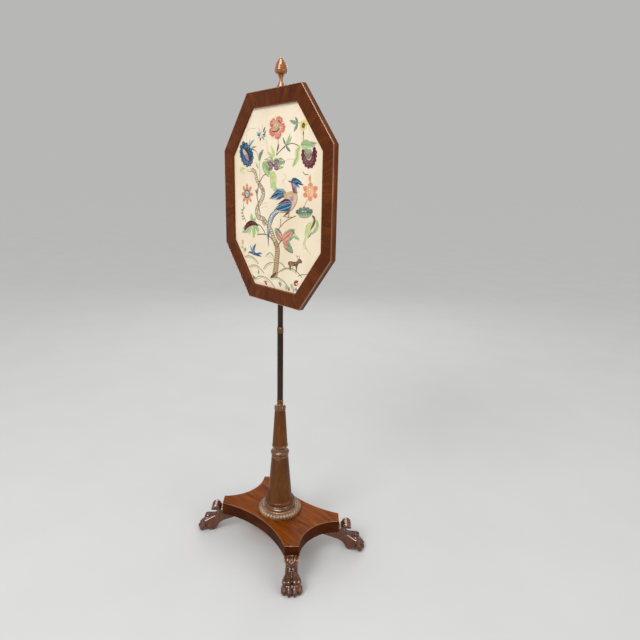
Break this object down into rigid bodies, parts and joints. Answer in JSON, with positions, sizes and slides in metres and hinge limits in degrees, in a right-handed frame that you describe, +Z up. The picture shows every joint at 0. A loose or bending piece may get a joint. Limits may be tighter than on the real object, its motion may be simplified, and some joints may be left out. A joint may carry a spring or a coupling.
{
  "type": "pole screen",
  "caption": "Freestanding pole screen: an octagonal framed needlework panel slides and turns on a turned pole, over a tapered column, a hollow-sided platform and carved paw feet.",
  "frame": {"origin": "on the floor, directly under the pole's axis", "axes": "+Z up along the pole; the screen's width lies along X and its embroidered face looks towards -Y"},
  "size_m": [0.5166, 0.3906, 1.488],
  "materials": {
    "carcase": "plain pale carcase wood, unfinished",
    "top_veneer": "figured mahogany veneer, polished, warm orange brown",
    "edge_veneer": "dark red-brown mahogany veneer, polished",
    "carved_wood": "carved mahogany, waxed, dark in the hollows",
    "carved_ring": "carved mahogany with a greyish bloom in the carving",
    "turned_wood": "turned mahogany, polished, mid brown",
    "pole_wood": "turned mahogany, dark brown with pale wear streaks",
    "pole_brass": "dull lacquered brass, brown with age",
    "finial_wood": "turned mahogany, glossy, orange brown",
    "brass": "aged brass, satin",
    "steel": "dull iron, slightly tarnished",
    "frame_wood": "mahogany, polished, warm brown",
    "bead_wood": "mahogany bead, worn to a paler edge",
    "frame_veneer": "cross-grained mahogany veneer, satin, patchy red and brown",
    "linen": "cream linen twill with coloured wool embroidery",
    "board": "thin plain board",
    "cover_wood": "thin stained board"
  },
  "bodies": {
    "stand": {"platform_core": "carcase", "platform_top_veneer": "top_veneer", "platform_side_veneer": "edge_veneer", "foot_front_left": "carved_wood", "foot_front_right": "carved_wood", "foot_back_left": "carved_wood", "foot_back_right": "carved_wood", "foot_dowels": "carcase", "foot_screws": "steel", "base_ring": "carved_ring", "lower_column": "turned_wood", "tenon_wedge": "carcase", "column_knop": "turned_wood", "upper_column": "turned_wood", "capital": "turned_wood", "pole_ring": "pole_brass", "pole_lower": "pole_wood", "pole_ferrule": "pole_brass", "pole_upper": "pole_wood"},
    "finial": {"finial": "finial_wood"},
    "collar": {"height_collar": "brass"},
    "thumb_screw": {"thumb_screw": "brass"},
    "screen": {"rail_top": "frame_wood", "rail_bottom": "frame_wood", "stile_left": "frame_wood", "stile_right": "frame_wood", "diagonal_top_left": "frame_wood", "diagonal_top_right": "frame_wood", "diagonal_bottom_left": "frame_wood", "diagonal_bottom_right": "frame_wood", "corner_keys": "carcase", "outer_bead": "bead_wood", "frame_veneer": "frame_veneer", "needlework": "linen", "backing_board": "board", "back_cover": "cover_wood", "back_brads": "steel", "upper_sleeve": "brass", "lower_sleeve": "brass", "sleeve_screws": "steel"}
  },
  "joints": [
    {"name": "screen_height", "type": "slide", "parent": "stand", "child": "collar", "axis": [0, 0, 1], "range_m": [-0.0845, 0.0175]},
    {"name": "screen_swivel", "type": "hinge", "parent": "collar", "child": "screen", "pos_m": [0, 0, 0.832], "axis": [0, 0, 1], "range_deg": [-100, 100]},
    {"name": "thumb_screw_turn", "type": "hinge", "parent": "collar", "child": "thumb_screw", "pos_m": [0, 0, 0.8248], "axis": [0, 1, 0], "range_deg": [0, 540]},
    {"name": "finial_lift", "type": "slide", "parent": "stand", "child": "finial", "axis": [0, 0, 1], "range_m": [0, 0.02]}
  ]
}
